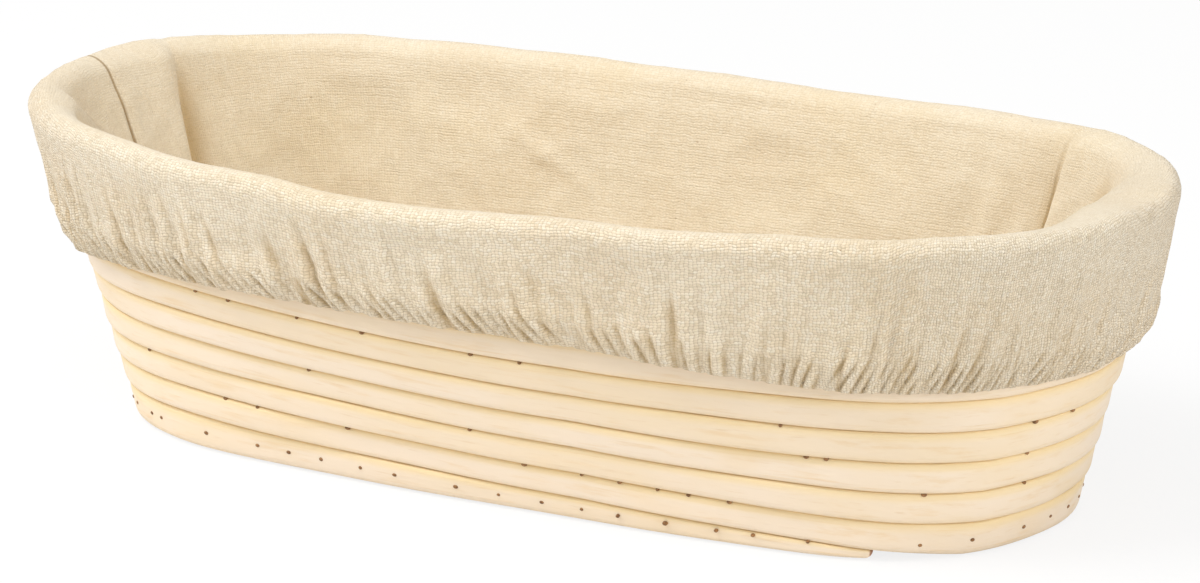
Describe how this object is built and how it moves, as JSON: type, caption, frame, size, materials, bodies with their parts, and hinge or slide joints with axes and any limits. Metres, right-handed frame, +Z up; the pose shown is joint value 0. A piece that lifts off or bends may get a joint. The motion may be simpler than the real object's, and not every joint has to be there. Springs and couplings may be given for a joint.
{
  "type": "proofing basket",
  "caption": "Oval rattan cane proofing basket with a removable natural linen liner folded over the rim and held outside by an elastic hem.",
  "frame": {"origin": "centre of the basket's outline, on the surface it stands on", "axes": "+X along the basket's length, +Y from front to back, +Z up out of the mouth"},
  "size_m": [0.2984, 0.136, 0.0812],
  "materials": {
    "rattan": "peeled natural cane, satin",
    "linen": "unbleached plain weave, matt",
    "elastic": "covered elastic, matt"
  },
  "bodies": {
    "basket": {"wall_cane": "rattan", "base_cane": "rattan", "base_core": "rattan"},
    "liner": {"liner_bag": "linen", "liner_skirt": "linen", "hem_elastic": "elastic"}
  },
  "joints": [
    {"name": "liner_lift", "type": "slide", "parent": "basket", "child": "liner", "axis": [0, 0, 1], "range_m": [0, 0.1], "deforming": ["liner_skirt", "hem_elastic"]}
  ]
}
